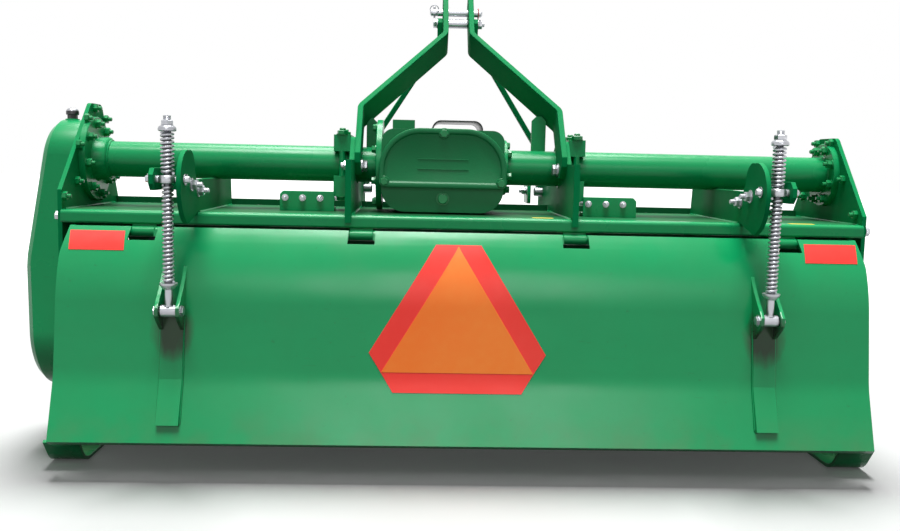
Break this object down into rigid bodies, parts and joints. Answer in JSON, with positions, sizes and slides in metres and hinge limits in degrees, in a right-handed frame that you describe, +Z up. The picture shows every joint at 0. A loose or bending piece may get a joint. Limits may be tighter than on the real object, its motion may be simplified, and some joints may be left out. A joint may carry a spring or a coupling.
{
  "type": "rotavator",
  "caption": "Tractor-mounted rotary tiller with a tined rotor under a hood, a sprung hinged tailboard, a side drive and a three-point headstock.",
  "frame": {"origin": "centre of the bounding box's bottom face, on the floor between the skids", "axes": "+X to the machine's right seen from behind, along the rotor; +Y forward to the tractor; +Z up"},
  "size_m": [2.0592, 0.788, 1.1837],
  "materials": {
    "green_paint": "gloss",
    "black_painted_sheet": "satin",
    "zinc_plated_steel": "satin",
    "machined_steel": "satin",
    "forged_tine_steel": "satin"
  },
  "bodies": {
    "machine_frame": {"cheek_plate_left": "green_paint", "cheek_plate_right": "green_paint", "cross_tube_left": "green_paint", "cross_tube_right": "green_paint", "foot_plate_left": "green_paint", "foot_plate_right": "green_paint", "gearbox_housing": "green_paint", "gearbox_rear_cover": "green_paint", "hinge_lugs": "green_paint", "hood_deck": "green_paint", "input_guard": "black_painted_sheet", "lower_hitch_pin_left": "zinc_plated_steel", "lower_hitch_pin_right": "zinc_plated_steel", "mast_bar_left": "green_paint", "mast_bar_right": "green_paint", "mast_leg_left": "green_paint", "mast_leg_right": "green_paint", "mast_spacer": "zinc_plated_steel", "rear_rail": "green_paint", "rotor_bearing_right": "green_paint", "side_drive_case": "green_paint", "side_plate_left": "green_paint", "side_plate_right": "green_paint", "skid_left": "green_paint", "skid_right": "green_paint", "spring_bracket_left": "green_paint", "spring_bracket_right": "green_paint", "top_link_pin": "zinc_plated_steel", "tube_clamp_left": "green_paint", "tube_clamp_right": "green_paint"},
    "rotor": {"rotor_with_tines": "forged_tine_steel", "stub_axle_left": "machined_steel", "stub_axle_right": "machined_steel"},
    "pto_input": {"input_shaft": "machined_steel"},
    "tailboard_body": {"tailboard": "green_paint", "tailboard_bracket_left": "green_paint", "tailboard_bracket_right": "green_paint"},
    "trunnion_body_left": {"trunnion_left": "zinc_plated_steel", "upper_spring_left": "zinc_plated_steel", "lower_spring_left": "zinc_plated_steel"},
    "rod_body_left": {"spring_rod_left": "zinc_plated_steel"},
    "trunnion_body_right": {"trunnion_right": "zinc_plated_steel", "upper_spring_right": "zinc_plated_steel", "lower_spring_right": "zinc_plated_steel"},
    "rod_body_right": {"spring_rod_right": "zinc_plated_steel"}
  },
  "joints": [
    {"name": "rotor_spin", "type": "hinge", "parent": "machine_frame", "child": "rotor", "pos_m": [0.03762, -0.00304, 0.265], "axis": [1, 0, 0], "continuous": true},
    {"name": "pto_spin", "type": "hinge", "parent": "machine_frame", "child": "pto_input", "pos_m": [0.02162, 0.17696, 0.715], "axis": [0, 1, 0], "continuous": true},
    {"name": "tailboard_lift", "type": "hinge", "parent": "machine_frame", "child": "tailboard_body", "pos_m": [0.03762, -0.23304, 0.536], "axis": [-1, 0, 0], "range_deg": [0, 35]},
    {"name": "trunnion_tilt_left", "type": "hinge", "parent": "machine_frame", "child": "trunnion_body_left", "pos_m": [-0.62438, -0.36104, 0.66], "axis": [-1, 0, 0], "range_deg": [0, 21]},
    {"name": "rod_slide_left", "type": "slide", "parent": "trunnion_body_left", "child": "rod_body_left", "axis": [0, 0, 1], "range_m": [0, 0.08997], "deforming": ["lower_spring_left"]},
    {"name": "trunnion_tilt_right", "type": "hinge", "parent": "machine_frame", "child": "trunnion_body_right", "pos_m": [0.71362, -0.36104, 0.66], "axis": [-1, 0, 0], "range_deg": [0, 21]},
    {"name": "rod_slide_right", "type": "slide", "parent": "trunnion_body_right", "child": "rod_body_right", "axis": [0, 0, 1], "range_m": [0, 0.08997], "deforming": ["lower_spring_right"]}
  ],
  "couplings": [
    {"joint": "pto_spin", "follows": "rotor_spin", "ratio": 2.5},
    {"joint": "trunnion_tilt_left", "follows": "tailboard_lift", "ratio": 0.59948},
    {"joint": "rod_slide_left", "follows": "tailboard_lift", "m_per_rad": 0.14724},
    {"joint": "trunnion_tilt_right", "follows": "tailboard_lift", "ratio": 0.59948},
    {"joint": "rod_slide_right", "follows": "tailboard_lift", "m_per_rad": 0.14724}
  ]
}
